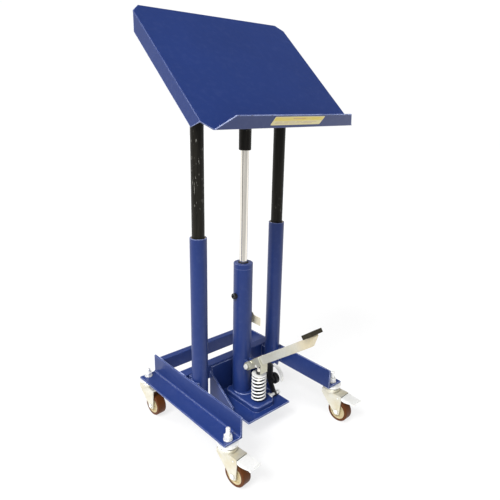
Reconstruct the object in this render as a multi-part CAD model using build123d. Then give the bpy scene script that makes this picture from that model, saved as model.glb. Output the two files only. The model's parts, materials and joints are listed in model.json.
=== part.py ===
from build123d import *
import math
import os

# Hydraulic tilting lift table on four casters. Millimetres, +Z up, origin on
# the floor at the centre of the footprint. X is the width, -Y is the pedal side.

# Overall layout, measured from the plane through both guide posts
POST_Y = 54.0
POST_X = 177.0
CYLINDER_Y = POST_Y - 20.0
SPRING_Y = POST_Y - 116.0

# Base frame
RAIL_BOTTOM = 134.0
RAIL_HEIGHT = 75.0
RAIL_TOP = RAIL_BOTTOM + RAIL_HEIGHT
RAIL_INNER_X = 211.0
RAIL_FLANGE = 71.0
RAIL_STEEL = 6.0
RAIL_FRONT = POST_Y - 269.0
RAIL_BACK = POST_Y + 241.0
MID_CROSS_FRONT = POST_Y + 43.5
MID_CROSS_DEPTH = 38.0
REAR_CROSS_FRONT = POST_Y + 189.5
REAR_CROSS_DEPTH = 27.0
CROSS_HEIGHT = 54.0
CROSS_STEEL = 4.0

# Pump bracket hung under the middle cross member
BRACKET_TOP = 83.0
BRACKET_HALF_WIDTH = 101.0
BRACKET_FRONT = POST_Y - 177.0
BRACKET_STEEL = 6.0
GUSSET_FRONT = POST_Y - 88.0
GUSSET_FRONT_TOP = 95.0
GUSSET_BACK_TOP = 185.0

# Telescopic guide posts
OUTER_TUBE_RADIUS = 28.5
OUTER_TUBE_BORE = 25.0
OUTER_TUBE_TOP = 724.0
INNER_TUBE_RADIUS = 21.0
INNER_TUBE_BORE = 18.0
INNER_TUBE_BOTTOM = 520.0
BUSH_LENGTH = 34.0

# Hydraulic cylinder
CYLINDER_RADIUS = 34.0
CYLINDER_BORE = 29.0
CYLINDER_TOP = 590.0
GLAND_TOP = 608.0
ROD_RADIUS = 13.5
ROD_BOTTOM = 492.0
PISTON_RADIUS = 28.95
PISTON_LENGTH = 20.0
COLLAR_RADIUS = 20.5
COLLAR_BOTTOM = 994.0
RUNNING_FIT = 0.06

# Lifting head
HEAD_BOTTOM = 1104.0
HEAD_TOP = 1144.0
HEAD_FRONT = POST_Y - 42.0
HEAD_DEPTH = 70.0
HEAD_HALF_LENGTH = 205.0
TILT_PIVOT_Y = POST_Y - 7.0
TILT_PIVOT_Z = 1190.0
TILT_ANGLE = 42.6
SLOT_RADIUS = 85.0
CHEEK_INNER_X = 96.0
CHEEK_STEEL = 8.0
TILT_PLATE_STEEL = 6.0
PLATE_GAP = 0.5
PIN_RADIUS = 8.0
STUD_RADIUS = 5.0

# Folded platform, in its own axes: u across, v up the slope, h off the top face
PLATFORM_WIDTH = 610.0
PLATFORM_DEPTH = 490.0
PLATFORM_STEEL = 3.0
PLATFORM_CENTRE_Y = POST_Y - 35.4
PLATFORM_CENTRE_Z = 1242.6
CORNER_CUT = 30.0
SKIRT_HEIGHT = 42.0
LIP_HEIGHT = 48.0
LIP_LEFT = 276.0
LIP_RIGHT = 298.0
SLOPE = math.radians(TILT_ANGLE)
PIVOT_DY = TILT_PIVOT_Y - PLATFORM_CENTRE_Y
PIVOT_DZ = TILT_PIVOT_Z - PLATFORM_CENTRE_Z
PIVOT_V = PIVOT_DY * math.cos(SLOPE) + PIVOT_DZ * math.sin(SLOPE)
PIVOT_H = PIVOT_DZ * math.cos(SLOPE) - PIVOT_DY * math.sin(SLOPE)

# Foot pump
BLOCK_TOP = 104.0
BLOCK_HALF_WIDTH = 48.0
BARREL_RADIUS = 16.0
BARREL_TOP = 178.0
PLUNGER_RADIUS = 9.0
PLUNGER_TOP = 237.5
SPRING_TOP = 208.0
SPRING_MEAN_RADIUS = 23.75
SPRING_WIRE = 6.0
SPRING_TURNS = 7
PEDAL_PIVOT_Y = POST_Y - 68.0
PEDAL_PIVOT_Z = 224.0
PEDAL_ANGLE = 36.5
PEDAL_HALF_WIDTH = 17.0
ARM_HEIGHT = 30.0
ARM_HALF_WIDTH = 10.0
ARM_START = 80.0
ARM_END = 380.0
PAD_WIDTH = 60.0
PAD_LENGTH = 40.0
PAD_END = 387.0
PAD_PLATE = 3.0
PAD_THICKNESS = 11.0
DRIVE_OFFSET_Y = -48.0
DRIVE_OFFSET_Z = 22.0

# Release valve lever
RELEASE_Y = POST_Y - 118.0
RELEASE_Z = 94.0
RELEASE_KNOB_Y = POST_Y - 104.0
RELEASE_KNOB_Z = 150.0
LEVER_PLATE_Y = POST_Y - 87.0

# Casters
STEM_X = 253.5
FRONT_STEM_Y = POST_Y - 250.0
REAR_STEM_Y = POST_Y + 227.5
WHEEL_RADIUS = 41.0
WHEEL_WIDTH = 35.0
CASTER_TRAIL = 44.0
STEM_RADIUS = 7.0
FRONT_STEM_TOP = 182.0
REAR_STEM_TOP = 171.0
FORK_TOP = 121.5
FORK_INNER = 20.5
FORK_STEEL = 3.0
CASTERS = {
    "front_left": (-STEM_X, FRONT_STEM_Y, 6.0, True),
    "front_right": (STEM_X, FRONT_STEM_Y, 3.0, True),
    "rear_left": (-STEM_X, REAR_STEM_Y, 3.0, False),
    "rear_right": (STEM_X, REAR_STEM_Y, 0.0, False),
}


def block(x0, x1, y0, y1, z0, z1):
    centre = ((x0 + x1) / 2, (y0 + y1) / 2, (z0 + z1) / 2)
    return Pos(*centre) * Box(abs(x1 - x0), abs(y1 - y0), abs(z1 - z0))


def upright(x, y, radius, z0, z1):
    return Pos(x, y, (z0 + z1) / 2) * Cylinder(radius, z1 - z0)


def across(x0, x1, y, z, radius):
    """Round bar along X."""
    return Pos((x0 + x1) / 2, y, z) * Rot(0, 90, 0) * Cylinder(radius, abs(x1 - x0))


def hex_across(x0, x1, y, z, flats):
    """Hexagon head or nut along X."""
    profile = Plane.YZ * RegularPolygon(flats / 2, 6, major_radius=False)
    head = extrude(profile, abs(x1 - x0), dir=(1, 0, 0))
    return Pos(min(x0, x1), y, z) * head


def side_plate(points, x0, x1):
    """Flat plate cut in the YZ plane, between x0 and x1."""
    outline = make_face(Plane.YZ * Polyline(*points, close=True))
    return Pos(min(x0, x1), 0, 0) * extrude(outline, abs(x1 - x0), dir=(1, 0, 0))


def ring(radius, a0, a1, steps=10):
    """Points on an arc about the origin."""
    angles = [math.radians(a0 + (a1 - a0) * i / steps) for i in range(steps + 1)]
    return [(radius * math.cos(a), radius * math.sin(a)) for a in angles]


def mirrored(solid):
    return mirror(solid, about=Plane.YZ)


def edges_along(solid, axis, near, tolerance=0.6):
    """Straight edges parallel to an axis whose middle is close to a point."""
    found = solid.edges().filter_by(axis)
    return [edge for edge in found if (edge.center() - Vector(*near)).length < tolerance]


os.makedirs("parts", exist_ok=True)


def save(name, *solids):
    shape = solids[0] if len(solids) == 1 else Compound(children=list(solids))
    export_step(shape, f"parts/{name}.step")


def save_group(name, solids):
    save(name, *solids)


# ---------------------------------------------------------------- base frame

def side_rail():
    rail_mid_y = (RAIL_FRONT + RAIL_BACK) / 2
    leg_outer = RAIL_INNER_X + RAIL_STEEL
    leg = block(RAIL_INNER_X, leg_outer, RAIL_FRONT, RAIL_BACK, RAIL_BOTTOM, RAIL_TOP)
    flange_outer = RAIL_INNER_X + RAIL_FLANGE
    flange_top = RAIL_BOTTOM + RAIL_STEEL
    flange = block(RAIL_INNER_X, flange_outer, RAIL_FRONT, RAIL_BACK, RAIL_BOTTOM, flange_top)
    rail = leg + flange
    root = edges_along(rail, Axis.Y, (leg_outer, rail_mid_y, flange_top))
    rail = fillet(root, 8.0)
    toes = edges_along(rail, Axis.Y, (leg_outer, rail_mid_y, RAIL_TOP))
    toes += edges_along(rail, Axis.Y, (flange_outer, rail_mid_y, flange_top))
    rail = fillet(toes, 2.5)
    heel = edges_along(rail, Axis.Y, (RAIL_INNER_X, rail_mid_y, RAIL_BOTTOM))
    rail = fillet(heel, 1.5)
    for stem_y in (FRONT_STEM_Y, REAR_STEM_Y):
        rail -= upright(STEM_X, stem_y, STEM_RADIUS, RAIL_BOTTOM - 1, flange_top + 1)
    return rail


def cross_member(front, depth):
    z0 = RAIL_TOP - CROSS_HEIGHT
    x = RAIL_INNER_X
    outer = block(-x, x, front, front + depth, z0, RAIL_TOP)
    outer = fillet(outer.edges().filter_by(Axis.X), 3.0)
    t = CROSS_STEEL
    inner = block(-x, x, front + t, front + depth - t, z0 + t, RAIL_TOP - t)
    return outer - inner


def pump_bracket():
    t = BRACKET_STEEL
    w = BRACKET_HALF_WIDTH
    back = MID_CROSS_FRONT
    shelf = block(-w, w, BRACKET_FRONT, back, BRACKET_TOP - t, BRACKET_TOP)
    wall = block(-w + t, w - t, back - t, back, BRACKET_TOP - t, RAIL_TOP - 6)
    bracket = shelf + wall
    bend = edges_along(bracket, Axis.X, (0, back - t, BRACKET_TOP))
    return fillet(bend, 4.0)


def bracket_gusset(side):
    back = MID_CROSS_FRONT
    outline = [
        (GUSSET_FRONT, BRACKET_TOP),
        (back, BRACKET_TOP),
        (back, GUSSET_BACK_TOP),
        (GUSSET_FRONT, GUSSET_FRONT_TOP),
    ]
    outer = side * BRACKET_HALF_WIDTH
    return side_plate(outline, outer, outer - side * BRACKET_STEEL)


def post_lugs(side):
    post = upright(side * POST_X, POST_Y, OUTER_TUBE_RADIUS, 100, 300)
    inner = side * (POST_X + 10)
    rail_lug = block(inner, side * RAIL_INNER_X, POST_Y - 21, POST_Y + 21, RAIL_BOTTOM + 8, RAIL_TOP - 4)
    x0 = side * (POST_X - 16)
    x1 = side * (POST_X + 16)
    saddle = block(x0, x1, POST_Y + 12, MID_CROSS_FRONT, RAIL_TOP - 50, RAIL_TOP - 5)
    return [rail_lug - post, saddle - post]


save_group("side_rails", [side_rail(), mirrored(side_rail())])
save("cross_member_middle", cross_member(MID_CROSS_FRONT, MID_CROSS_DEPTH))
save("cross_member_rear", cross_member(REAR_CROSS_FRONT, REAR_CROSS_DEPTH))
save("pump_bracket", pump_bracket())
save_group("bracket_gussets", [bracket_gusset(-1), bracket_gusset(1)])
save_group("post_lugs", post_lugs(-1) + post_lugs(1))


# --------------------------------------------------------------- guide posts

def outer_tube(x):
    tube = upright(x, POST_Y, OUTER_TUBE_RADIUS, RAIL_BOTTOM, OUTER_TUBE_TOP)
    tube = chamfer(tube.edges().filter_by(GeomType.CIRCLE), 1.0)
    return tube - upright(x, POST_Y, OUTER_TUBE_BORE, RAIL_BOTTOM - 1, OUTER_TUBE_TOP + 1)


def guide_bush(x):
    z1 = OUTER_TUBE_TOP - 0.5
    bush = upright(x, POST_Y, OUTER_TUBE_BORE, z1 - BUSH_LENGTH, z1)
    bore = INNER_TUBE_RADIUS + RUNNING_FIT
    return bush - upright(x, POST_Y, bore, z1 - BUSH_LENGTH - 1, z1 + 1)


def inner_tube(x):
    tube = upright(x, POST_Y, INNER_TUBE_RADIUS, INNER_TUBE_BOTTOM, HEAD_BOTTOM)
    return tube - upright(x, POST_Y, INNER_TUBE_BORE, INNER_TUBE_BOTTOM - 1, HEAD_BOTTOM + 1)


save_group("outer_tubes", [outer_tube(-POST_X), outer_tube(POST_X)])
save_group("guide_bushes", [guide_bush(-POST_X), guide_bush(POST_X)])
save_group("inner_tubes", [inner_tube(-POST_X), inner_tube(POST_X)])


# --------------------------------------------------------- hydraulic cylinder

BOSS_Z = 399.0
BOSS_FACE_X = 41.0


def valve_boss():
    boss = block(24, BOSS_FACE_X, CYLINDER_Y - 8, CYLINDER_Y + 8, BOSS_Z - 8, BOSS_Z + 8)
    return fillet(boss.edges().filter_by(Axis.X), 2.0)


def pivot_lug(side):
    """Lug on the cylinder wall that carries the pedal pivot."""
    y = PEDAL_PIVOT_Y
    z = PEDAL_PIVOT_Z
    outline = [(CYLINDER_Y - 24, z - 22), (CYLINDER_Y - 24, z + 22), (y, z + 12), (y, z - 12)]
    x0 = side * 6.0
    x1 = side * 13.0
    lug = side_plate(outline, x0, x1) + across(x0, x1, y, z, 12)
    return lug - across(x0 - side, x1 + side, y, z, 6.0)


def cylinder_tube():
    """Tube with the boss and the two pedal lugs welded on."""
    tube = upright(0, CYLINDER_Y, CYLINDER_RADIUS, BLOCK_TOP, CYLINDER_TOP)
    tube += valve_boss() + pivot_lug(-1) + pivot_lug(1)
    tube -= across(CYLINDER_RADIUS, BOSS_FACE_X + 1, CYLINDER_Y, BOSS_Z, 3.5)
    return tube - upright(0, CYLINDER_Y, CYLINDER_BORE, BLOCK_TOP + 8, CYLINDER_TOP + 1)


def cylinder_gland():
    gland = upright(0, CYLINDER_Y, CYLINDER_RADIUS, CYLINDER_TOP, GLAND_TOP)
    gland = chamfer(gland.edges().group_by(Axis.Z)[-1], 1.5)
    gland += upright(0, CYLINDER_Y, CYLINDER_BORE - 0.02, CYLINDER_TOP - 24, CYLINDER_TOP)
    bore = ROD_RADIUS + RUNNING_FIT
    return gland - upright(0, CYLINDER_Y, bore, CYLINDER_TOP - 30, GLAND_TOP + 1)


def piston_rod():
    rod = upright(0, CYLINDER_Y, ROD_RADIUS, ROD_BOTTOM, COLLAR_BOTTOM + 30)
    piston = upright(0, CYLINDER_Y, PISTON_RADIUS, ROD_BOTTOM, ROD_BOTTOM + PISTON_LENGTH)
    return rod + chamfer(piston.edges().filter_by(GeomType.CIRCLE), 1.0)


def rod_collar():
    collar = upright(0, CYLINDER_Y, COLLAR_RADIUS, COLLAR_BOTTOM, HEAD_BOTTOM)
    collar = chamfer(collar.edges().group_by(Axis.Z)[0], 2.0)
    return collar - upright(0, CYLINDER_Y, ROD_RADIUS, COLLAR_BOTTOM - 1, COLLAR_BOTTOM + 30)


def filler_plug():
    z = 490.0
    plug = across(-46.0, -CYLINDER_RADIUS + 4, CYLINDER_Y, z, 10.5)
    plug = chamfer(plug.edges().group_by(Axis.X)[0], 2.0)
    plug -= upright(0, CYLINDER_Y, CYLINDER_RADIUS, z - 20, z + 20)
    return plug - hex_across(-47.0, -42.0, CYLINDER_Y, z, 8.0)


def boss_tab():
    """Flat tab screwed to the boss."""
    front = CYLINDER_Y - 50
    outline = [
        (CYLINDER_Y + 9, BOSS_Z - 31),
        (CYLINDER_Y + 9, BOSS_Z + 8),
        (CYLINDER_Y - 9, BOSS_Z + 8),
        (CYLINDER_Y - 15, BOSS_Z),
        (front, BOSS_Z),
        (front, BOSS_Z - 31),
    ]
    x = BOSS_FACE_X
    tab = side_plate(outline, x, x + 2.5)
    return tab - across(x - 1, x + 4, CYLINDER_Y, BOSS_Z, 3.5)


def tab_screw():
    seat = BOSS_FACE_X + 2.5
    shank = across(CYLINDER_RADIUS + 0.5, seat, CYLINDER_Y, BOSS_Z, 3.5)
    return shank + hex_across(seat, seat + 4.5, CYLINDER_Y, BOSS_Z, 11.0)


save("cylinder_tube", cylinder_tube())
save("cylinder_gland", cylinder_gland())
save("piston_rod", piston_rod())
save("rod_collar", rod_collar())
save("filler_plug", filler_plug())
save("boss_tab", boss_tab())
save("tab_screw", tab_screw())


# --------------------------------------------------------------- lifting head

def head_beam():
    back = HEAD_FRONT + HEAD_DEPTH
    x = HEAD_HALF_LENGTH
    beam = block(-x, x, HEAD_FRONT, back, HEAD_BOTTOM, HEAD_TOP)
    beam = fillet(beam.edges().filter_by(Axis.X), 4.0)
    t = 4.0
    return beam - block(-x, x, HEAD_FRONT + t, back - t, HEAD_BOTTOM + t, HEAD_TOP - t)


def arc_slot(a0, a1, half_width, x0, x1):
    outer = ring(SLOT_RADIUS + half_width, a0, a1, 16)
    inner = ring(SLOT_RADIUS - half_width, a1, a0, 16)
    return side_plate(outer + inner, x0, x1)


def head_cheek(side):
    x0 = side * CHEEK_INNER_X
    x1 = side * (CHEEK_INNER_X + CHEEK_STEEL)
    down = HEAD_TOP - TILT_PIVOT_Z
    outline = [(-33, down), (33, down), (SLOT_RADIUS, -15), (SLOT_RADIUS, 15), (0, 18), (-18, 0)]
    cheek = side_plate(outline, x0, x1)
    cheek += across(x0, x1, 0, 0, 18)
    cheek += across(x0, x1, SLOT_RADIUS, 0, 15)
    cheek -= across(x0 - side, x1 + side, 0, 0, PIN_RADIUS)
    cheek -= across(x0 - side, x1 + side, SLOT_RADIUS, 0, STUD_RADIUS)
    return Pos(0, TILT_PIVOT_Y, TILT_PIVOT_Z) * cheek


def pivot_pin(side):
    x0 = side * (CHEEK_INNER_X - 9)
    x1 = side * (CHEEK_INNER_X + CHEEK_STEEL + TILT_PLATE_STEEL + 6)
    head = across(x0, side * CHEEK_INNER_X, 0, 0, PIN_RADIUS + 4)
    pin = across(side * CHEEK_INNER_X, x1, 0, 0, PIN_RADIUS)
    return Pos(0, TILT_PIVOT_Y, TILT_PIVOT_Z) * (pin + head)


def clamp_stud(side):
    x0 = side * (CHEEK_INNER_X - 7)
    x1 = side * (CHEEK_INNER_X + CHEEK_STEEL + TILT_PLATE_STEEL + 26)
    head = hex_across(x0, side * CHEEK_INNER_X, SLOT_RADIUS, 0, 17)
    stud = across(side * CHEEK_INNER_X, x1, SLOT_RADIUS, 0, STUD_RADIUS)
    return Pos(0, TILT_PIVOT_Y, TILT_PIVOT_Z) * (stud + head)


def lock_knob():
    """Five-lobed clamp knob, turning on the right-hand stud."""
    x0 = CHEEK_INNER_X + CHEEK_STEEL + TILT_PLATE_STEEL + 1.5
    x1 = x0 + 30
    hub = across(x0, x0 + 12, 0, 0, 12)
    knob = hub + across(x0 + 12, x1, 0, 0, 20)
    for i in range(5):
        a = math.radians(72 * i)
        lobe = across(x0 + 12, x1, 18 * math.cos(a), 18 * math.sin(a), 9)
        knob += chamfer(lobe.edges().filter_by(GeomType.CIRCLE), 1.5)
    bore = across(x0 - 1, x0 + 25, 0, 0, STUD_RADIUS + RUNNING_FIT)
    return Pos(0, TILT_PIVOT_Y + SLOT_RADIUS, TILT_PIVOT_Z) * (knob - bore)


save("head_beam", head_beam())
save_group("head_cheeks", [head_cheek(-1), head_cheek(1)])
save_group("pivot_pins", [pivot_pin(-1), pivot_pin(1)])
save_group("clamp_studs", [clamp_stud(-1), clamp_stud(1)])
save("lock_knob", lock_knob())


# ------------------------------------------------------------------- platform

def on_slope(solid):
    """From the platform's own axes to the tilted rest pose."""
    return Pos(0, PLATFORM_CENTRE_Y, PLATFORM_CENTRE_Z) * Rot(TILT_ANGLE, 0, 0) * solid


def platform_tray():
    w = PLATFORM_WIDTH / 2
    d = PLATFORM_DEPTH / 2
    t = PLATFORM_STEEL
    c = CORNER_CUT
    outline = [
        (-LIP_LEFT, -d), (LIP_RIGHT, -d), (w, -d + c), (w, d - c),
        (w - c, d), (-w + c, d), (-w, d - c), (-w, -d + c),
    ]
    sheet = extrude(make_face(Polyline(*outline, close=True)), t, dir=(0, 0, -1))
    s = SKIRT_HEIGHT
    side_outline = [(-d + c, 0), (d - c, 0), (d - c - s + 4, -s), (-d + c + s / 2, -s)]
    sheet += side_plate(side_outline, w - t, w)
    sheet += side_plate(side_outline, -w, -w + t)
    back_outline = [(-w + c, 0), (w - c, 0), (w - c - s + 4, -s), (-w + c + s - 4, -s)]
    back = extrude(make_face(Plane.XZ * Polyline(*back_outline, close=True)), t, dir=(0, -1, 0))
    sheet += Pos(0, d, 0) * back
    p = LIP_HEIGHT
    lip_outline = [(-LIP_LEFT, -t), (LIP_RIGHT, -t), (LIP_RIGHT - p, p), (-LIP_LEFT + p, p)]
    lip = extrude(make_face(Plane.XZ * Polyline(*lip_outline, close=True)), t, dir=(0, -1, 0))
    sheet += Pos(0, -d + t, 0) * lip
    outer_folds = edges_along(sheet, Axis.Y, (w, 0, 0))
    outer_folds += edges_along(sheet, Axis.Y, (-w, 0, 0))
    outer_folds += edges_along(sheet, Axis.X, (0, d, 0))
    lip_mid = (LIP_RIGHT - LIP_LEFT) / 2
    outer_folds += edges_along(sheet, Axis.X, (lip_mid, -d, -t))
    sheet = fillet(outer_folds, 2.9)
    inner_fold = edges_along(sheet, Axis.X, (lip_mid, -d + t, 0))
    return fillet(inner_fold, 1.5)


def tray_channel(u):
    t = PLATFORM_STEEL
    outer = block(u - 20, u + 20, -205, 205, -t - 25, -t)
    inner = block(u - 17, u + 17, -206, 206, -t - 22, -t)
    return outer - inner


def tilt_plate(side):
    x0 = side * (CHEEK_INNER_X + CHEEK_STEEL + PLATE_GAP)
    x1 = x0 + side * TILT_PLATE_STEEL
    rise = -PIVOT_H - PLATFORM_STEEL
    outline = [(-45, rise), (112, rise), (106, 30)]
    outline += ring(98, 12, -50)
    outline += ring(73, -50, -46, 2)
    outline += [(20, -12), (0, -18), (-18, 0)]
    plate = side_plate(outline, x0, x1)
    plate += across(x0, x1, 0, 0, 18)
    plate -= across(x0 - side, x1 + side, 0, 0, PIN_RADIUS + RUNNING_FIT)
    slot_half = STUD_RADIUS + 0.6
    plate -= arc_slot(-44.0, 1.0, slot_half, x0 - side, x1 + side)
    for end in (-44.0, 1.0):
        a = math.radians(end)
        v = SLOT_RADIUS * math.cos(a)
        h = SLOT_RADIUS * math.sin(a)
        plate -= across(x0 - side, x1 + side, v, h, slot_half)
    return Pos(0, PIVOT_V, PIVOT_H) * plate


save("platform_tray", on_slope(platform_tray()))
channels = [on_slope(tray_channel(-150)), on_slope(tray_channel(150))]
save_group("tray_channels", channels)
save_group("tilt_plates", [on_slope(tilt_plate(-1)), on_slope(tilt_plate(1))])


# ------------------------------------------------------------------ foot pump

def pump_block():
    w = BLOCK_HALF_WIDTH
    front = SPRING_Y - 40
    back = CYLINDER_Y + 40
    base = block(-w, w, front, back, BRACKET_TOP, BLOCK_TOP)
    base = fillet(base.edges().filter_by(Axis.Z), 22.0)
    base = chamfer(base.edges().group_by(Axis.Z)[-1], 2.5)
    bore = across(w - 30, w + 1, RELEASE_Y, RELEASE_Z, 6.0)
    return base - bore


def pump_barrel():
    barrel = upright(0, SPRING_Y, BARREL_RADIUS, BLOCK_TOP, BARREL_TOP)
    barrel = chamfer(barrel.edges().group_by(Axis.Z)[-1], 1.5)
    bore = PLUNGER_RADIUS + RUNNING_FIT
    return barrel - upright(0, SPRING_Y, bore, BLOCK_TOP + 6, BARREL_TOP + 1)


def plunger():
    shaft = upright(0, SPRING_Y, PLUNGER_RADIUS, 142.0, PLUNGER_TOP)
    return chamfer(shaft.edges().filter_by(GeomType.CIRCLE), 1.0)


def spring_seat():
    seat = upright(0, SPRING_Y, 26.5, SPRING_TOP, SPRING_TOP + 3)
    return seat - upright(0, SPRING_Y, PLUNGER_RADIUS, SPRING_TOP - 1, SPRING_TOP + 4)


def spring_cap():
    """Moulded cap that centres the seat and clears the rocker's cheeks."""
    top = SPRING_TOP + 14
    cap = upright(0, SPRING_Y, 11.0, SPRING_TOP + 3, top)
    cap = chamfer(cap.edges().group_by(Axis.Z)[-1], 1.0)
    return cap - upright(0, SPRING_Y, PLUNGER_RADIUS, SPRING_TOP, top + 1)


def return_spring():
    height = SPRING_TOP - BLOCK_TOP - SPRING_WIRE
    pitch = height / SPRING_TURNS
    path = Helix(pitch, height, SPRING_MEAN_RADIUS)
    start = Plane(origin=path @ 0, z_dir=path % 0)
    wire = sweep(start * Circle(SPRING_WIRE / 2), path=path, is_frenet=True)
    return Pos(0, SPRING_Y, BLOCK_TOP + SPRING_WIRE / 2) * wire


def pivot_bolt():
    bolt = across(-19.0, 19.0, PEDAL_PIVOT_Y, PEDAL_PIVOT_Z, 6.0)
    bolt += hex_across(-25.0, -19.0, PEDAL_PIVOT_Y, PEDAL_PIVOT_Z, 17.0)
    return bolt + hex_across(19.0, 26.0, PEDAL_PIVOT_Y, PEDAL_PIVOT_Z, 17.0)


save("pump_block", pump_block())
save("pump_barrel", pump_barrel())
save("plunger", plunger())
save("spring_seat", spring_seat())
save("spring_cap", spring_cap())
save("return_spring", return_spring())
save("pivot_bolt", pivot_bolt())


# ---------------------------------------------------------------- foot pedal
# The pedal is drawn level, pointing at -Y from its pivot, then raised.

def raised(solid):
    return Pos(0, PEDAL_PIVOT_Y, PEDAL_PIVOT_Z) * Rot(-PEDAL_ANGLE, 0, 0) * solid


def drive_axis():
    """Position of the drive roller in the level pedal axes."""
    a = math.radians(PEDAL_ANGLE)
    y = DRIVE_OFFSET_Y * math.cos(a) - DRIVE_OFFSET_Z * math.sin(a)
    z = DRIVE_OFFSET_Y * math.sin(a) + DRIVE_OFFSET_Z * math.cos(a)
    return y, z


def rocker():
    w = PEDAL_HALF_WIDTH
    t = 3.5
    half = ARM_HEIGHT / 2
    front = -ARM_START
    cheeks = block(-w, w, front, 0, -half, half)
    cheeks += across(-w, w, 0, 0, half)
    gap = block(-w + t, w - t, front + t, half + 1, -half - 1, half + 1)
    bracket = cheeks - gap
    hook = Rot(PEDAL_ANGLE, 0, 0) * block(-w + 1, w - 1, -t, 0, -36, 0)
    bracket += Pos(0, front + t, -half + 2) * hook
    rivet = across(-w - 4, w + 4, -33, 6, 7.5)
    bracket += chamfer(rivet.edges().filter_by(GeomType.CIRCLE), 1.5)
    bracket -= across(-w - 5, w + 5, 0, 0, 6.0 + RUNNING_FIT)
    y, z = drive_axis()
    return raised(bracket - across(-w - 1, w + 1, y, z, 5.0))


def drive_roller():
    y, z = drive_axis()
    w = PEDAL_HALF_WIDTH
    pin = across(-w, w, y, z, 5.0)
    roller = across(-w + 4, w - 4, y, z, 8.0)
    return raised(pin + roller)


def pedal_arm():
    half = ARM_HEIGHT / 2
    w = ARM_HALF_WIDTH
    arm = block(-w, w, -ARM_END, -ARM_START, -half, half)
    arm = fillet(arm.edges().filter_by(Axis.Y), 2.0)
    toe = [(-ARM_END - 1, -half - 1), (-ARM_END + 38, -half - 1), (-ARM_END - 1, 11)]
    arm -= side_plate(toe, -w - 1, w + 1)
    plate_w = PAD_WIDTH / 2 - 3
    y0 = -PAD_END + 3
    plate = block(-plate_w, plate_w, y0, y0 + PAD_LENGTH - 6, half, half + PAD_PLATE)
    return raised(arm + fillet(plate.edges().filter_by(Axis.Z), 4.0))


def pedal_pad():
    base = ARM_HEIGHT / 2 + PAD_PLATE
    top = base + PAD_THICKNESS
    w = PAD_WIDTH / 2
    skirt = ARM_HEIGHT / 2 + RUNNING_FIT
    y0 = -PAD_END + 3 - RUNNING_FIT
    y1 = -PAD_END + PAD_LENGTH - 3 + RUNNING_FIT
    pad = block(-w, w, -PAD_END, -PAD_END + PAD_LENGTH, skirt, top)
    pad = fillet(pad.edges().filter_by(Axis.Z), 4.0)
    pad -= block(-w + 3 - RUNNING_FIT, w - 3 + RUNNING_FIT, y0, y1, skirt - 1, base)
    for i in range(8):
        x = -w + 5.5 + i * 7
        pad -= block(x - 1.2, x + 1.2, -PAD_END - 1, -PAD_END + PAD_LENGTH + 1, top - 2.5, top + 1)
    return raised(pad)


save("rocker", rocker())
save("drive_roller", drive_roller())
save("pedal_arm", pedal_arm())
save("pedal_pad", pedal_pad())


# -------------------------------------------------------------- release valve

def release_shaft():
    shaft = across(26.0, 97.0, RELEASE_Y, RELEASE_Z, 6.0 - RUNNING_FIT)
    head = hex_across(97.0, 103.0, RELEASE_Y, RELEASE_Z, 16.0)
    return shaft + head


def valve_nut():
    nut = hex_across(BLOCK_HALF_WIDTH, BLOCK_HALF_WIDTH + 12, RELEASE_Y, RELEASE_Z, 20.0)
    return nut - across(BLOCK_HALF_WIDTH - 1, BLOCK_HALF_WIDTH + 13, RELEASE_Y, RELEASE_Z, 6.0)


def release_lever():
    """Cranked lever plate with an ear for the shaft and one for the knob."""
    back = LEVER_PLATE_Y + 16
    front = LEVER_PLATE_Y - 16
    outline = [
        (RELEASE_Y - 9, RELEASE_Z + 4),
        (front - 1, 136),
        (front, 205),
        (front + 6, 212),
        (back - 6, 212),
        (back, 205),
        (back, 148),
        (back - 18, 122),
        (RELEASE_Y + 9, RELEASE_Z - 4),
    ]
    lever = side_plate(outline, 78, 84)
    lever += across(78, 84, RELEASE_Y, RELEASE_Z, 10) + across(78, 84, RELEASE_KNOB_Y, RELEASE_KNOB_Z, 10)
    lever -= across(70, 90, RELEASE_Y, RELEASE_Z, 6.0 - RUNNING_FIT)
    return lever - across(70, 90, RELEASE_KNOB_Y, RELEASE_KNOB_Z, 5.0)


def release_knob():
    knob = across(84, 100, RELEASE_KNOB_Y, RELEASE_KNOB_Z, 21.0)
    knob = fillet(knob.edges().filter_by(GeomType.CIRCLE), 3.0)
    return knob + across(80.5, 84.5, RELEASE_KNOB_Y, RELEASE_KNOB_Z, 5.0)


def release_guard():
    """Flat strip bent over the front of the knob."""
    band = ring(47, 86, 186) + ring(44, 186, 86)
    points = [(LEVER_PLATE_Y - 13 + y, RELEASE_KNOB_Z + 11 + z) for y, z in band]
    return side_plate(points, 84, 97)


save("release_shaft", release_shaft())
save("valve_nut", valve_nut())
save("release_lever", release_lever())
save("release_guard", release_guard())
save("release_knob", release_knob())


# -------------------------------------------------------------------- casters
# Each caster is drawn at the origin of its stem, trailing towards -Y.

def caster_top(stem_top):
    """Threaded stem riveted to the upper ball race."""
    race = upright(0, 0, 34.0, 123.5, RAIL_BOTTOM)
    race = chamfer(race.edges().group_by(Axis.Z)[0], 3.0)
    stem = upright(0, 0, STEM_RADIUS, 104.0, stem_top)
    stem = chamfer(stem.edges().group_by(Axis.Z)[-1], 1.5)
    rivet = upright(0, 0, 11.0, 100.0, 104.0)
    return race + stem + rivet


def caster_nut():
    z0 = RAIL_BOTTOM + RAIL_STEEL
    washer = upright(0, 0, 15.0, z0, z0 + 2.5)
    nut = extrude(Pos(0, 0, z0 + 2.5) * RegularPolygon(12.0, 6, major_radius=False), 14)
    return washer + nut - upright(0, 0, STEM_RADIUS, z0 - 1, z0 + 30)


def leg_outline():
    hub = [(-CASTER_TRAIL, WHEEL_RADIUS)]
    cy, cz = hub[0]
    arc = []
    for i in range(9):
        a = math.radians(-20 - 140 * i / 8)
        arc.append((cy + 14 * math.cos(a), cz + 14 * math.sin(a)))
    return [(27, 110), (27, 94)] + arc + [(-60, 84), (-60, 110)]


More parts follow.
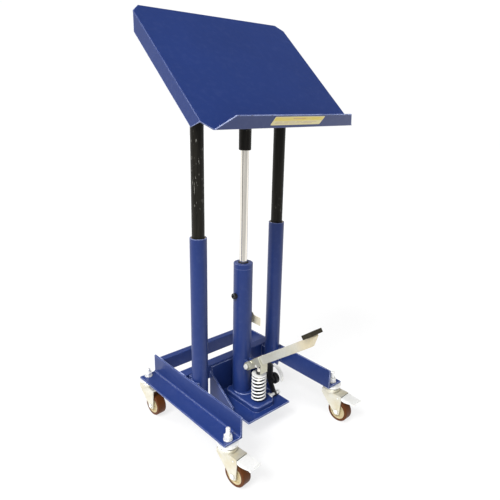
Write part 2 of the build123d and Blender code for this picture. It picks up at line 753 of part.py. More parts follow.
def fork():
    w = FORK_INNER
    t = FORK_STEEL
    shape = side_plate(leg_outline(), w, w + t)
    shape += side_plate(leg_outline(), -w - t, -w)
    shape += block(-w - t, w + t, -60, 27, 106, 110)
    crown = upright(0, 0, 32.0, 108.0, FORK_TOP)
    shape += chamfer(crown.edges().group_by(Axis.Z)[-1], 3.0)
    shape -= upright(0, 0, STEM_RADIUS + RUNNING_FIT, 100, FORK_TOP + 1)
    shape -= upright(0, 0, 11.6, 99, 104.5)
    for x in (-w - t / 2, w + t / 2):
        shape -= across(x - t, x + t, -CASTER_TRAIL, WHEEL_RADIUS, 5.0)
    return shape


def axle():
    w = FORK_INNER + FORK_STEEL
    bolt = across(-w, w, 0, 0, 5.0)
    bolt += hex_across(-w - 5, -w, 0, 0, 15.0)
    bolt += hex_across(w, w + 7, 0, 0, 15.0)
    return Pos(0, -CASTER_TRAIL, WHEEL_RADIUS) * bolt


def wheel_tread():
    w = WHEEL_WIDTH / 2
    tread = across(-w, w, 0, 0, WHEEL_RADIUS)
    tread = fillet(tread.edges().filter_by(GeomType.CIRCLE), 4.0)
    tread -= across(-w - 1, w + 1, 0, 0, 31.0)
    return Pos(0, -CASTER_TRAIL, WHEEL_RADIUS) * tread


def wheel_hub():
    w = WHEEL_WIDTH / 2 - 1
    hub = across(-w, w, 0, 0, 31.0)
    for x in (-w, w):
        groove = across(x - 4, x + 4, 0, 0, 26.0) - across(x - 5, x + 5, 0, 0, 15.0)
        hub -= groove
    hub += across(-FORK_INNER + 0.6, FORK_INNER - 0.6, 0, 0, 10.0)
    hub -= across(-FORK_INNER - 1, FORK_INNER + 1, 0, 0, 5.0 + RUNNING_FIT)
    return Pos(0, -CASTER_TRAIL, WHEEL_RADIUS) * hub


BRAKE_Y = -46.0
BRAKE_Z = 98.0


def brake_pedal():
    w = FORK_INNER - 1.5
    cheeks = [(8, 3), (8, -3), (-2, -7), (-16, -5), (-16, 5), (-4, 6)]
    brake = side_plate(cheeks, w - 2.5, w) + side_plate(cheeks, -w, -w + 2.5)
    brake += block(-w, w, -16, -6, 2.5, 5)
    tab_w = FORK_INNER + FORK_STEEL
    tab = block(-tab_w, tab_w, -68, -14.5, 9.0, 11.5)
    tab = fillet(tab.edges().filter_by(Axis.Z).group_by(Axis.Y)[0], 3.0)
    tab += block(-tab_w, tab_w, -17, -14.5, 2.5, 9.0)
    tab += Pos(0, -68, 10.25) * Rot(0, 90, 0) * Cylinder(3.2, 2 * tab_w)
    skirt = [(-16.5, 11.5), (-16.5, -1), (-30, -1), (-48, 4), (-62, 9), (-62, 11.5)]
    tab += side_plate(skirt, tab_w - 2.5, tab_w) + side_plate(skirt, -tab_w, -tab_w + 2.5)
    brake += tab
    pin_end = FORK_INNER + FORK_STEEL + 1.5
    brake += across(-pin_end, pin_end, 0, 0, 3.0)
    return Pos(0, BRAKE_Y, BRAKE_Z) * Rot(6, 0, 0) * brake


tops = []
nuts = []
for name, (x, y, swivel, braked) in CASTERS.items():
    place = Pos(x, y, 0) * Rot(0, 0, swivel)
    tops.append(place * caster_top(FRONT_STEM_TOP if braked else REAR_STEM_TOP))
    nuts.append(place * caster_nut())
    caster_fork = fork()
    if braked:
        pin_end = FORK_INNER + FORK_STEEL + 2
        caster_fork -= across(-pin_end, pin_end, BRAKE_Y, BRAKE_Z, 3.0 + RUNNING_FIT)
        save(f"brake_pedal_{name}", place * brake_pedal())
    save(f"fork_{name}", place * caster_fork)
    save(f"axle_{name}", place * axle())
    save(f"tread_{name}", place * wheel_tread())
    save(f"hub_{name}", place * wheel_hub())
save_group("caster_tops", tops)
save_group("caster_nuts", nuts)
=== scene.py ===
import json
import math
import random

import bmesh
import bpy
from mathutils import Matrix, Vector

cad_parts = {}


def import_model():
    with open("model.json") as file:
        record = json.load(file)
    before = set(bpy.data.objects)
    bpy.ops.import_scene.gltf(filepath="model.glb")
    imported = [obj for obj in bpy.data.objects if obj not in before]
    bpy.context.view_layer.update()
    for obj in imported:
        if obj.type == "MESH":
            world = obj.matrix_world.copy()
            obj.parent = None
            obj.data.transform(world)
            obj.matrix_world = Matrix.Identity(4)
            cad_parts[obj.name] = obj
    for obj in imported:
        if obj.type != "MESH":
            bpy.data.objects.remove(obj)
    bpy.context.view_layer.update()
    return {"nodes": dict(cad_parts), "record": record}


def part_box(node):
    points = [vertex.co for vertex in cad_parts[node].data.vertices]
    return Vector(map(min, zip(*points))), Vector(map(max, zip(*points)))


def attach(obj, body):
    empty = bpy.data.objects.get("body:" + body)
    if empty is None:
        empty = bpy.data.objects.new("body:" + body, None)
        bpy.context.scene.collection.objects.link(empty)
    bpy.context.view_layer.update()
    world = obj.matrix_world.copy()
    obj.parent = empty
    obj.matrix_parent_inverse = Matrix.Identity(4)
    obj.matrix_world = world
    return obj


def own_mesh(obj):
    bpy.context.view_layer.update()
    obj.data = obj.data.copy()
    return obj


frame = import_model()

nodes = frame["nodes"]

# The camera, in the row frame
CAMERA_POSITION = Vector((-1.0652, -1.1828, 1.1559))
CAMERA_AZIMUTH = math.radians(-42.005)
CAMERA_DOWN = math.radians(17.281)
CAMERA_ROLL = math.radians(1.116)
CAMERA_LENS = 35.14
CAMERA_SENSOR = 36.0
FAR_CLIP = 60.0

# The level direction the camera looks in; floor and surroundings are darker towards its near side
BACKDROP = (0.67, 0.74, 0.0)

# The platform's own axes: u across, v up the slope, h off the top face
TILT = math.radians(42.6)
PLATFORM_CENTRE = Vector((0.0, 0.0186, 1.2426))
PLATFORM_DEPTH = 0.490
ON_SLOPE = Matrix.Translation(PLATFORM_CENTRE) @ Matrix.Rotation(TILT, 4, "X")
TRAY_STEEL = 0.003


# ------------------------------------------------------------ node helpers

def set_range(node, low, high, out_low, out_high):
    """Fills the four numbers of a Map Range node."""
    limits = {"From Min": low, "From Max": high, "To Min": out_low, "To Max": out_high}
    for socket, number in limits.items():
        node.inputs[socket].default_value = number


def dimmed(colour, share):
    return tuple(c * share for c in colour)


class Shader:
    """A Principled material being built, with short calls for its nodes."""

    def __init__(self, name, **sockets):
        self.material = bpy.data.materials.new(name)
        self.material.use_nodes = True
        self.tree = self.material.node_tree
        self.tree.nodes.clear()
        self.output = self.add("ShaderNodeOutputMaterial")
        self.surface = self.add("ShaderNodeBsdfPrincipled")
        self.link(self.surface.outputs[0], self.output.inputs["Surface"])
        for socket, value in sockets.items():
            self.set(socket.replace("_", " "), value)
        self.place = self.add("ShaderNodeTexCoord").outputs["Object"]
        self.height = None

    def add(self, kind, **settings):
        node = self.tree.nodes.new(kind)
        for key, value in settings.items():
            setattr(node, key, value)
        return node

    def link(self, source, target):
        self.tree.links.new(source, target)

    def set(self, socket, value):
        """A plain value, or the output of another node."""
        target = self.surface.inputs[socket]
        if isinstance(value, bpy.types.NodeSocket):
            self.link(value, target)
        else:
            target.default_value = value if not isinstance(value, tuple) else (*value, 1.0)

    def noise(self, scale, detail=4.0, roughness=0.55, stretch=None):
        node = self.add("ShaderNodeTexNoise")
        node.inputs["Scale"].default_value = scale
        node.inputs["Detail"].default_value = detail
        node.inputs["Roughness"].default_value = roughness
        self.link(self.stretched(stretch) if stretch else self.place, node.inputs["Vector"])
        return node.outputs["Fac"]

    def stretched(self, scale):
        node = self.add("ShaderNodeMapping")
        node.inputs["Scale"].default_value = scale
        self.link(self.place, node.inputs["Vector"])
        return node.outputs["Vector"]

    def ramp(self, value, low, high, out_low=0.0, out_high=1.0):
        node = self.add("ShaderNodeMapRange", clamp=True)
        self.link(value, node.inputs["Value"])
        set_range(node, low, high, out_low, out_high)
        return node.outputs["Result"]

    def math(self, operation, a, b):
        node = self.add("ShaderNodeMath", operation=operation)
        for socket, value in zip(node.inputs, (a, b)):
            if isinstance(value, bpy.types.NodeSocket):
                self.link(value, socket)
            else:
                socket.default_value = value
        return node.outputs[0]

    def mix(self, factor, a, b):
        node = self.add("ShaderNodeMix", data_type="RGBA")
        self.link(factor, node.inputs["Factor"])
        for socket, value in ((node.inputs[6], a), (node.inputs[7], b)):
            if isinstance(value, bpy.types.NodeSocket):
                self.link(value, socket)
            else:
                socket.default_value = (*value, 1.0)
        return node.outputs[2]

    def along(self, direction):
        """How far a point lies along a direction, in metres."""
        node = self.add("ShaderNodeVectorMath", operation="DOT_PRODUCT")
        self.link(self.place, node.inputs[0])
        node.inputs[1].default_value = direction
        return node.outputs["Value"]

    def edges(self, radius):
        """1 on sharp outer and inner edges, 0 on flats."""
        bevel = self.add("ShaderNodeBevel", samples=6)
        bevel.inputs["Radius"].default_value = radius
        flat = self.add("ShaderNodeNewGeometry").outputs["True Normal"]
        dot = self.add("ShaderNodeVectorMath", operation="DOT_PRODUCT")
        self.link(bevel.outputs[0], dot.inputs[0])
        self.link(flat, dot.inputs[1])
        return self.ramp(dot.outputs["Value"], 0.995, 0.90)

    def shaded_gaps(self, distance):
        """Painted shade mask from ambient occlusion: 1 deep in gaps between pieces, 0 on open surfaces."""
        gap = self.add("ShaderNodeAmbientOcclusion", samples=8)
        gap.inputs["Distance"].default_value = distance
        return self.ramp(gap.outputs["AO"], 0.25, 0.80, 1.0, 0.0)

    def bump(self, value, distance, strength=1.0):
        """Adds a height in metres to the bump chain."""
        node = self.add("ShaderNodeBump")
        node.inputs["Distance"].default_value = distance
        node.inputs["Strength"].default_value = strength
        self.link(value, node.inputs["Height"])
        if self.height is not None:
            self.link(self.height, node.inputs["Normal"])
        self.height = node.outputs[0]
        self.link(self.height, self.surface.inputs["Normal"])


# --------------------------------------------------------------- materials

def enamel(name, colour, worn_and_highlight, chipped=(0.16, 0.155, 0.15), roughness=0.35, wear=0.62, fold_wear_and_highlight=1.0):
    """Sprayed enamel: orange peel, faint dust, edges and folds lightened partly as wear and partly as a
    painted highlight, and small chips.

    wear: the noise level above which an edge is chipped. fold: how strongly the folds are lightened, partly
    as wear and partly as a painted highlight."""
    s = Shader(name, Specular_IOR_Level=0.32, Coat_Weight=0.04, Coat_Roughness=0.12)
    broad = s.noise(2.2, 3.0)
    fine = s.noise(55.0, 5.0, 0.6)
    shade = s.mix(s.ramp(broad, 0.3, 0.7), colour, dimmed(colour, 0.84))
    shade = s.mix(s.ramp(fine, 0.50, 0.80, 0.0, 0.025), shade, worn_and_highlight)
    edge = s.edges(0.0030)
    # Edges and folds turn lighter: partly paint wear, partly a painted highlight where the bends catch the
    # light
    rubbed_and_highlit = s.math("MULTIPLY", edge, s.ramp(s.noise(14.0, 4.0), 0.30, 0.60, 0.35 * fold_wear_and_highlight, fold_wear_and_highlight))
    shade = s.mix(rubbed_and_highlit, shade, worn_and_highlight)
    chips = s.math("MULTIPLY", edge, s.ramp(s.noise(130.0, 3.0, 0.7), wear, wear + 0.03))
    shade = s.mix(chips, shade, chipped)
    s.set("Base Color", shade)
    s.set("Roughness", s.ramp(s.noise(9.0, 5.0, 0.6), 0.25, 0.75, roughness - 0.05, roughness + 0.07))
    s.bump(s.noise(420.0, 2.0), 0.00005, 0.22)
    s.bump(s.noise(6.0, 2.0), 0.0012, 0.06)
    s.bump(s.ramp(chips, 0.0, 1.0, 1.0, 0.0), 0.00015, 0.6)
    return s.material


TAN = (0.76, 0.67, 0.47)
# Near-black of the painted shade in the gaps between pieces
GAP_SHADE = (0.10, 0.10, 0.09)


def plated(name, colour, tint, roughness=0.34, metallic=0.85, tan_end=None):
    """Zinc plate: soft blotches of tint, dark specks, dull patches, fine grain, and painted shade in the
    gaps.

    tan_end: the two Y positions between which the plating turns tan."""
    s = Shader(name, Metallic=metallic)
    blotch = s.ramp(s.noise(18.0, 5.0, 0.6), 0.35, 0.68)
    shade = s.mix(blotch, colour, tint)
    if tan_end:
        axes = s.add("ShaderNodeSeparateXYZ")
        s.link(s.place, axes.inputs[0])
        ragged = s.math("ADD", axes.outputs["Y"], s.ramp(s.noise(30.0, 3.0), 0.3, 0.7, -0.02, 0.02))
        shade = s.mix(s.ramp(ragged, *tan_end), shade, TAN)
    specks = s.ramp(s.noise(160.0, 4.0, 0.7), 0.50, 0.85, 0.0, 0.35)
    shade = s.mix(specks, shade, dimmed(colour, 0.55))
    # Painted shade: the plating darkens where ambient occlusion finds a gap between pieces
    shade = s.mix(s.math("MULTIPLY", s.shaded_gaps(0.012), 0.85), shade, GAP_SHADE)
    s.set("Base Color", shade)
    s.set("Roughness", s.ramp(s.noise(45.0, 6.0, 0.7), 0.25, 0.8, roughness - 0.06, roughness + 0.22))
    s.bump(s.noise(900.0, 3.0), 0.00005, 0.4)
    return s.material


def ground_chrome():
    """Hard chrome rod: fine lengthwise drawing marks and an oil film."""
    s = Shader("rod_chrome", Metallic=1.0, Specular_Tint=(0.60, 0.58, 0.54))
    lines = s.noise(60.0, 4.0, 0.6, stretch=(14.0, 14.0, 0.25))
    s.set("Base Color", s.mix(s.ramp(lines, 0.3, 0.7), (0.98, 0.94, 0.86), (0.80, 0.76, 0.69)))
    s.set("Roughness", s.ramp(s.noise(30.0, 5.0, 0.65), 0.3, 0.8, 0.12, 0.23))
    s.bump(lines, 0.00003, 0.3)
    return s.material


def black_finish():
    """Blackened steel: brown-black, satin, with bright scratches along the tube."""
    s = Shader("black_steel", Specular_IOR_Level=0.15)
    rub = s.noise(22.0, 5.0, 0.6, stretch=(6.0, 6.0, 0.35))
    shade = s.mix(s.ramp(rub, 0.35, 0.75), (0.0095, 0.0085, 0.0065), (0.022, 0.020, 0.015))
    scratch = s.noise(60.0, 3.0, 0.6, stretch=(5.0, 5.0, 0.7))
    where = s.ramp(s.noise(5.0, 3.0), 0.42, 0.54)
    scratches = s.math("MULTIPLY", s.ramp(scratch, 0.645, 0.675), where)
    shade = s.mix(scratches, shade, (0.30, 0.29, 0.26))
    bare_edges = s.math("MULTIPLY", s.edges(0.0012), s.ramp(s.noise(60.0), 0.35, 0.7))
    shade = s.mix(bare_edges, shade, (0.16, 0.155, 0.145))
    s.set("Base Color", shade)
    s.set("Roughness", s.ramp(s.noise(35.0, 5.0), 0.3, 0.75, 0.30, 0.48))
    s.bump(s.noise(800.0, 2.0), 0.00004, 0.4)
    return s.material


def moulded(name, colour, roughness, grain, coat=0.0, lift=1.7, specular=0.28):
    """Moulded rubber, plastic or polyurethane with a fine grain and scuffs.

    lift: how many times lighter the scuffs are."""
    s = Shader(name, Specular_IOR_Level=specular, Coat_Weight=coat, Coat_Roughness=0.25)
    scuff = s.ramp(s.noise(38.0, 5.0, 0.65), 0.5, 0.8)
    shade = s.mix(scuff, colour, tuple(c * lift + 0.004 for c in colour))
    shade = s.mix(s.ramp(s.noise(6.0, 3.0), 0.35, 0.7), shade, dimmed(colour, 0.82))
    s.set("Base Color", shade)
    s.set("Roughness", s.ramp(s.noise(50.0, 5.0), 0.3, 0.75, roughness - 0.08, roughness + 0.08))
    s.bump(s.noise(grain, 3.0), 0.00010, 0.5)
    return s.material


BLUE = (0.0145, 0.036, 0.166)
# Pale blue for edges and folds, partly wear and partly a painted highlight; also the faint fine mottle
BLUE_WORN_AND_HIGHLIGHT = (0.42, 0.49, 0.78)
materials = {
    "paint_blue": enamel("paint_blue", BLUE, BLUE_WORN_AND_HIGHLIGHT),
    "black_steel": black_finish(),
    "rod_chrome": ground_chrome(),
    "bright_zinc": plated("bright_zinc", (0.95, 0.95, 0.94), (0.88, 0.88, 0.84), metallic=0.36),
    "yellow_zinc": plated("yellow_zinc", (0.80, 0.79, 0.72), (0.70, 0.64, 0.47), metallic=0.60),
    "dark_steel": enamel("dark_steel", (0.022, 0.022, 0.024), (0.07, 0.07, 0.07), roughness=0.42),
    "bush_bronze": plated("bush_bronze", (0.50, 0.34, 0.14), (0.38, 0.24, 0.09), metallic=1.0),
    "pad_rubber": moulded("pad_rubber", (0.026, 0.022, 0.013), 0.78, 900.0),
    "black_plastic": moulded("black_plastic", (0.012, 0.012, 0.014), 0.42, 1200.0, coat=0.1),
    "tread_amber": moulded("tread_amber", (0.105, 0.031, 0.006), 0.42, 500.0, lift=1.25, specular=0.16),
    "hub_tan": moulded("hub_tan", (0.56, 0.47, 0.28), 0.45, 900.0, lift=1.15),
}

# Nodes whose finish differs from the rest of their slot
TAN_STARTS, TAN_ENDS = -0.20, -0.29
cylinder_blue = enamel("cylinder_blue", BLUE, BLUE_WORN_AND_HIGHLIGHT, fold_wear_and_highlight=0.2)
arm_zinc = plated(
    "arm_zinc", (0.72, 0.72, 0.66), (0.66, 0.64, 0.52), metallic=0.60, tan_end=(TAN_STARTS, TAN_ENDS)
)
special = {
    "cylinder_tube": cylinder_blue,
    "cylinder_gland": cylinder_blue,
    "pedal_arm": arm_zinc,
    "rocker": plated("rocker_zinc", (0.66, 0.66, 0.58), (0.56, 0.54, 0.40), metallic=0.75),
    "boss_tab": plated("tab_zinc", (0.92, 0.86, 0.66), (0.86, 0.77, 0.52), metallic=0.20),
}
slot_of = {s["node"]: s["material_slot"] for s in frame["record"]["subparts"]}
for name, node in nodes.items():
    node.data.materials.clear()
    node.data.materials.append(special.get(name) or materials[slot_of[name]])


# ------------------------------------------------------------ added pieces

def finished(name, shape, body, *made_of, smooth=True):
    """A mesh object from a bmesh, riding on a CAD body."""
    mesh = bpy.data.meshes.new(name)
    shape.normal_update()
    shape.to_mesh(mesh)
    shape.free()
    for polygon in mesh.polygons:
        polygon.use_smooth = smooth
    for material in made_of:
        mesh.materials.append(material)
    piece = bpy.data.objects.new(name, mesh)
    bpy.context.scene.collection.objects.link(piece)
    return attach(piece, body)


# The label on the lip, along u and h
LABEL_U = (-0.085, 0.124)
LABEL_H = (0.010, 0.0430)
LABEL_THICKNESS = 0.0004
LABEL_CORNER = 0.003
LABEL_MARGIN = 0.003
YELLOW_STARTS = 0.52  # share of the label's height
YELLOW_CORNER = 0.0015
INK_THICKNESS = 0.00003
BAR_CORNER = 0.0006

# Start, end, low and high of each bar from the label's lower left corner, and its colour slot
LABEL_BARS = [
    (0.076, 0.128, 0.0235, 0.0262, 2),
    (0.012, 0.040, 0.0115, 0.0130, 3),
    (0.046, 0.092, 0.0115, 0.0130, 3),
    (0.098, 0.121, 0.0115, 0.0130, 3),
    (0.127, 0.186, 0.0115, 0.0130, 3),
    (0.012, 0.066, 0.0065, 0.0080, 3),
    (0.072, 0.114, 0.0065, 0.0080, 3),
    (0.120, 0.168, 0.0065, 0.0080, 3),
]


def label_outline(u0, u1, h0, h1, corner):
    """Rounded rectangle on the lip, counter-clockwise from the lower right corner."""
    points = []
    turns = ((u1 - corner, h0 + corner, -90), (u1 - corner, h1 - corner, 0),
             (u0 + corner, h1 - corner, 90), (u0 + corner, h0 + corner, 180))
    for cu, ch, start in turns:
        for step in range(5):
            a = math.radians(start + 22.5 * step)
            points.append((cu + corner * math.cos(a), ch + corner * math.sin(a)))
    return points


def raised_patch(shape, outline, base, thickness, slot):
    """A flat patch standing off the lip's outer face."""
    face_v = -PLATFORM_DEPTH / 2
    near = [shape.verts.new((u, face_v - base - thickness, h)) for u, h in outline]
    far = [shape.verts.new((u, face_v - base, h)) for u, h in outline]
    made = [shape.faces.new(near)]
    for i in range(len(outline)):
        j = (i + 1) % len(outline)
        made.append(shape.faces.new((near[i], far[i], far[j], near[j])))
    for face in made:
        face.material_index = slot


def label():
    """Plain printed label: yellow over cream, with bars in place of lettering."""
    shape = bmesh.new()
    u0, u1 = LABEL_U
    h0, h1 = LABEL_H
    raised_patch(shape, label_outline(u0, u1, h0, h1, LABEL_CORNER), 0.0, LABEL_THICKNESS, 0)
    yellow_h = h0 + (h1 - h0) * YELLOW_STARTS
    yellow = label_outline(u0 + LABEL_MARGIN, u1 - LABEL_MARGIN, yellow_h, h1 - LABEL_MARGIN, YELLOW_CORNER)
    raised_patch(shape, yellow, LABEL_THICKNESS, INK_THICKNESS, 1)
    for start, end, low, high, slot in LABEL_BARS:
        bar = label_outline(u0 + start, u0 + end, h0 + low, h0 + high, BAR_CORNER)
        raised_patch(shape, bar, LABEL_THICKNESS + INK_THICKNESS, INK_THICKNESS, slot)
    piece = finished(
        "lip_label", shape, "platform",
        printed("label_cream", (0.74, 0.64, 0.26)),
        printed("label_yellow", (0.74, 0.56, 0.02)),
        printed("label_ink", (0.52, 0.24, 0.06)),
        printed("label_grey", (0.45, 0.30, 0.26)),
        smooth=False,
    )
    piece.data.transform(ON_SLOPE)


def printed(name, colour):
    """Laminated vinyl print, slightly faded and scuffed."""
    s = Shader(name, Coat_Weight=0.3, Coat_Roughness=0.12)
    faded = tuple(c + (0.75 - c) * 0.18 for c in colour)
    shade = s.mix(s.ramp(s.noise(26.0, 4.0), 0.35, 0.7), colour, faded)
    scuffs = s.ramp(s.noise(210.0, 3.0), 0.62, 0.72, 0.0, 0.5)
    s.set("Base Color", s.mix(scuffs, shade, dimmed(colour, 0.6)))
    s.set("Roughness", s.ramp(s.noise(60.0, 4.0), 0.3, 0.7, 0.32, 0.48))
    s.bump(s.noise(120.0, 2.0), 0.00008, 0.3)
    return s.material


WELD_STEP = 0.0014
WELD_PITCH = 0.0042
BEAD_SIDES = 8

# Radii of the beads
HEAVY_BEAD = 0.0030
MEDIUM_BEAD = 0.0028
LIGHT_BEAD = 0.0024
LUG_BEAD = 0.0022
STITCH_BEAD = 0.0020


def straight(a, b):
    """Points along a weld from a to b."""
    a, b = Vector(a), Vector(b)
    count = max(2, round((b - a).length / WELD_STEP))
    return [a.lerp(b, i / count) for i in range(count + 1)]


def circular(centre, radius):
    """Points round a vertical tube."""
    count = round(2 * math.pi * radius / WELD_STEP)
    angles = [2 * math.pi * i / count for i in range(count + 1)]
    return [Vector(centre) + Vector((radius * math.cos(a), radius * math.sin(a), 0.0)) for a in angles]


def add_bead(shape, points, radius, chance):
    """A scalloped bead: rings of points whose size ripples along the weld."""
    rings = []
    walked = 0.0
    size = 1.0
    for i, point in enumerate(points):
        ahead = points[min(i + 1, len(points) - 1)]
        behind = points[max(i - 1, 0)]
        along = (ahead - behind).normalized()
        walked += (point - behind).length if i else 0.0
        phase = walked / WELD_PITCH
        if phase % 1.0 < WELD_STEP / WELD_PITCH:
            size = chance.uniform(0.88, 1.08)
        r = radius * size * (0.80 + 0.24 * abs(math.sin(math.pi * phase)))
        side = along.orthogonal().normalized()
        other = along.cross(side)
        ends = 0.35 if i in (0, len(points) - 1) else 1.0
        ring = []
        for k in range(BEAD_SIDES):
            turn = math.radians(360 / BEAD_SIDES * k)
            outward = side * math.cos(turn) + other * math.sin(turn)
            ring.append(shape.verts.new(point + outward * r * ends))
        rings.append(ring)
    for low, high in zip(rings, rings[1:]):
        start = min(range(BEAD_SIDES), key=lambda k: (high[k].co - low[0].co).length)
        for a in range(BEAD_SIDES):
            b = (a + 1) % BEAD_SIDES
            shape.faces.new((low[a], low[b], high[(b + start) % BEAD_SIDES], high[(a + start) % BEAD_SIDES]))
    shape.faces.new(rings[0][::-1])
    shape.faces.new(rings[-1])


def welds(name, body, material, runs):
    """runs: pairs of a list of points and the bead's radius."""
    chance = random.Random(name)
    shape = bmesh.new()
    for points, radius in runs:
        add_bead(shape, points, radius, chance)
    return finished(name, shape, body, material)


BRACKET_STEEL = 0.006
CYLINDER_RADIUS = 0.034
LUG_FACES = (0.006, 0.013)
LUG_HALF_HEIGHT = 0.017


def cross_member_runs(member):
    """Both ends of a cross member: up its two corners and along its top."""
    runs = []
    low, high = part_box(member)
    for x in (low.x, high.x):
        for y in (low.y, high.y):
            runs.append((straight((x, y, low.z + 0.004), (x, y, high.z - 0.004)), MEDIUM_BEAD))
        runs.append((straight((x, low.y + 0.003, high.z), (x, high.y - 0.003, high.z)), LIGHT_BEAD))
    return runs


def gusset_runs():
    """Each gusset along the bracket's floor and up its wall."""
    runs = []
    low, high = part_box("bracket_gussets")
    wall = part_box("pump_bracket")[1].y - BRACKET_STEEL
    for x in (low.x + BRACKET_STEEL, high.x - BRACKET_STEEL):
        runs.append((straight((x, low.y + 0.005, low.z), (x, wall - 0.003, low.z)), HEAVY_BEAD))
        runs.append((straight((x, wall, low.z + 0.004), (x, wall, high.z - 0.006)), HEAVY_BEAD))
    return runs


def cylinder_runs():
    """A ring at the cylinder's foot, and two upright beads at each pedal lug.

    The box also holds the lugs and the boss, so its middle is 13 mm in front of the tube's axis
    and these beads stand that much too far forward, a known fault."""
    low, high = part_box("cylinder_tube")
    centre = (low + high) / 2
    runs = [(circular((centre.x, centre.y, low.z), (high.x - low.x) / 2), HEAVY_BEAD)]
    low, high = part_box("pivot_bolt")
    middle = (low.z + high.z) / 2
    for side in (-1, 1):
        for x in LUG_FACES:
            y = centre.y - math.sqrt(CYLINDER_RADIUS ** 2 - x ** 2)
            foot = (side * x, y, middle - LUG_HALF_HEIGHT)
            top = (side * x, y, middle + LUG_HALF_HEIGHT)
            runs.append((straight(foot, top), LUG_BEAD))
    return runs


def frame_welds():
    runs = cross_member_runs("cross_member_middle") + cross_member_runs("cross_member_rear")
    runs += gusset_runs() + cylinder_runs()
    return welds("frame_welds", "base", materials["paint_blue"], runs)


CHEEK_STEEL = 0.008
CHEEK_HALF_WELD = 0.030


def head_welds():
    """The cheeks on top of the head beam, and the tubes and the collar under it."""
    runs = []
    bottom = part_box("head_beam")[0].z
    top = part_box("head_beam")[1].z
    pin_low, pin_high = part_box("pivot_pins")
    pivot_y = (pin_low.y + pin_high.y) / 2
    low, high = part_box("head_cheeks")
    for x in (low.x, low.x + CHEEK_STEEL, high.x - CHEEK_STEEL, high.x):
        front = (x, pivot_y - CHEEK_HALF_WELD, top)
        back = (x, pivot_y + CHEEK_HALF_WELD, top)
        runs.append((straight(front, back), MEDIUM_BEAD))
    for node in ("inner_tubes", "rod_collar"):
        low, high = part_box(node)
        y = (low.y + high.y) / 2
        radius = (high.y - low.y) / 2
        for x in sorted({round(low.x + radius, 5), round(high.x - radius, 5)}):
            runs.append((circular((x, y, bottom), radius), LIGHT_BEAD))
    return welds("head_welds", "lift", materials["paint_blue"], runs)


CHANNEL_EDGES = (-0.170, -0.130, 0.130, 0.170)
STITCH_COUNT = 5
STITCH_START = -0.190
STITCH_PITCH = 0.085
STITCH_LENGTH = 0.035


def platform_welds():
    """Stitch welds along both edges of the two channels under the platform."""
    runs = []
    under = -TRAY_STEEL
    for u in CHANNEL_EDGES:
        for k in range(STITCH_COUNT):
            v = STITCH_START + STITCH_PITCH * k
            runs.append((straight((u, v, under), (u, v + STITCH_LENGTH, under)), STITCH_BEAD))
    piece = welds("platform_welds", "platform", materials["paint_blue"], runs)
    piece.data.transform(ON_SLOPE)
    return piece


WIPER_BORE = 0.0137
WIPER_STEPS = 64
# Out from the bore and up from the gland's top
WIPER_PROFILE = [(0.0, 0.0), (0.0045, 0.0), (0.0045, 0.0012), (0.0020, 0.0026), (0.0, 0.0030)]


def rod_wiper():
    """Rubber lip seal round the rod, on the mouth of the gland."""
    low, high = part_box("cylinder_gland")
    centre = (low + high) / 2
    profile = [(WIPER_BORE + out, up) for out, up in WIPER_PROFILE]
    shape = bmesh.new()
    rings = []
    for step in range(WIPER_STEPS):
        a = 2 * math.pi * step / WIPER_STEPS
        ring = []
        for r, up in profile:
            point = (centre.x + r * math.cos(a), centre.y + r * math.sin(a), high.z + up)
            ring.append(shape.verts.new(point))
        rings.append(ring)
    for k, ring in enumerate(rings):
        ahead = rings[(k + 1) % len(rings)]
        for i in range(len(profile)):
            j = (i + 1) % len(profile)
            shape.faces.new((ring[i], ahead[i], ahead[j], ring[j]))
    bmesh.ops.recalc_face_normals(shape, faces=shape.faces)
    return finished("rod_wiper", shape, "base", materials["pad_rubber"], smooth=False)


def spring_travel():
    """Gives the return spring a mesh of its own."""
    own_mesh(nodes["return_spring"])


label()
rod_wiper()
frame_welds()
head_welds()
platform_welds()
spring_travel()


# ----------------------------------------------------------- floor and light

FLOOR_HALF = 12.0

def floor():
    """A pale floor that glows white, turning light grey on the camera's side."""
    mesh = bpy.data.meshes.new("floor")
    made = bpy.data.objects.new("floor", mesh)
    bpy.context.scene.collection.objects.link(made)
    grid = bmesh.new()
    bmesh.ops.create_grid(grid, x_segments=1, y_segments=1, size=FLOOR_HALF)
    grid.to_mesh(mesh)
    grid.free()
    s = Shader("floor", Roughness=0.75, Emission_Color=(1.0, 1.0, 1.0))
    far = s.along(BACKDROP)
    white = s.mix(s.ramp(s.noise(0.8), 0.3, 0.7), (0.21, 0.21, 0.21), (0.22, 0.22, 0.22))
    s.set("Base Color", s.mix(s.ramp(far, -1.4, -0.60), (0.14, 0.14, 0.14), white))
    s.set("Emission Strength", s.ramp(far, -1.6, -0.60, 0.32, 0.74))
    mesh.materials.append(s.material)
    return made


def sun(name, direction, strength, softness):
    """A broad soft light from a direction, with its angular size in degrees."""
    lamp = bpy.data.lights.new(name, "SUN")
    lamp.energy = strength
    lamp.angle = math.radians(softness)
    made = bpy.data.objects.new(name, lamp)
    bpy.context.scene.collection.objects.link(made)
    made.rotation_mode = "QUATERNION"
    made.rotation_quaternion = (-Vector(direction)).to_track_quat("-Z", "Y")
    return made


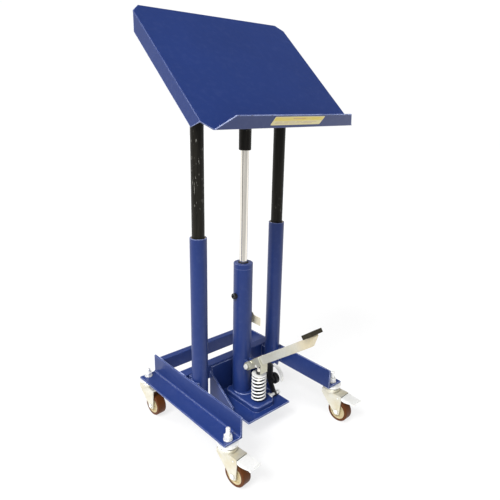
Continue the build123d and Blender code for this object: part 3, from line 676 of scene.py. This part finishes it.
def world(horizon, zenith, front):
    """Studio surroundings: white backdrop, dark ceiling and a dimmer room on the camera's side.

    front: the share of the light that is left on the camera's side."""
    made = bpy.data.worlds.new("studio")
    made.use_nodes = True
    tree = made.node_tree

    def ranged(value, low, high, out_low, out_high):
        node = tree.nodes.new("ShaderNodeMapRange")
        node.interpolation_type = "SMOOTHSTEP"
        set_range(node, low, high, out_low, out_high)
        tree.links.new(value, node.inputs["Value"])
        return node.outputs["Result"]

    place = tree.nodes.new("ShaderNodeTexCoord").outputs["Generated"]
    axes = tree.nodes.new("ShaderNodeSeparateXYZ")
    tree.links.new(place, axes.inputs[0])
    backdrop = tree.nodes.new("ShaderNodeVectorMath")
    backdrop.operation = "DOT_PRODUCT"
    backdrop.inputs[1].default_value = BACKDROP
    tree.links.new(place, backdrop.inputs[0])
    strength = tree.nodes.new("ShaderNodeMath")
    strength.operation = "MULTIPLY"
    tree.links.new(ranged(axes.outputs["Z"], 0.20, 0.55, horizon, zenith), strength.inputs[0])
    tree.links.new(ranged(backdrop.outputs["Value"], -0.5, 0.5, front, 1.0), strength.inputs[1])
    back = tree.nodes["Background"]
    back.inputs["Color"].default_value = (1.0, 1.0, 1.0, 1.0)
    tree.links.new(strength.outputs[0], back.inputs["Strength"])
    bpy.context.scene.world = made


def camera():
    sin_a, cos_a = math.sin(CAMERA_AZIMUTH), math.cos(CAMERA_AZIMUTH)
    level = math.cos(CAMERA_DOWN)
    look = Vector((-sin_a * level, cos_a * level, -math.sin(CAMERA_DOWN)))
    right = Vector((cos_a, sin_a, 0.0))
    up = right.cross(look)
    turned_right = right * math.cos(CAMERA_ROLL) + up * math.sin(CAMERA_ROLL)
    turned_up = up * math.cos(CAMERA_ROLL) - right * math.sin(CAMERA_ROLL)
    lens = bpy.data.cameras.new("camera")
    lens.lens = CAMERA_LENS
    lens.sensor_width = CAMERA_SENSOR
    lens.clip_end = FAR_CLIP
    made = bpy.data.objects.new("camera", lens)
    bpy.context.scene.collection.objects.link(made)
    turn = Matrix((turned_right, turned_up, -look)).transposed().to_4x4()
    made.matrix_world = Matrix.Translation(CAMERA_POSITION) @ turn
    bpy.context.scene.camera = made


camera()
floor()
world(horizon=1.02, zenith=0.14, front=0.34)
sun("key", (-0.62, -0.16, 0.71), 2.9, 22.0)
sun("top", (-0.25, -0.40, 1.0), 1.35, 40.0)
sun("back", (-0.36, 0.70, 0.62), 1.1, 20.0)
sun("front", (-0.60, -0.80, 0.40), 0.35, 30.0)
bpy.context.scene.view_settings.view_transform = "Standard"
bpy.context.scene.view_settings.look = "None"
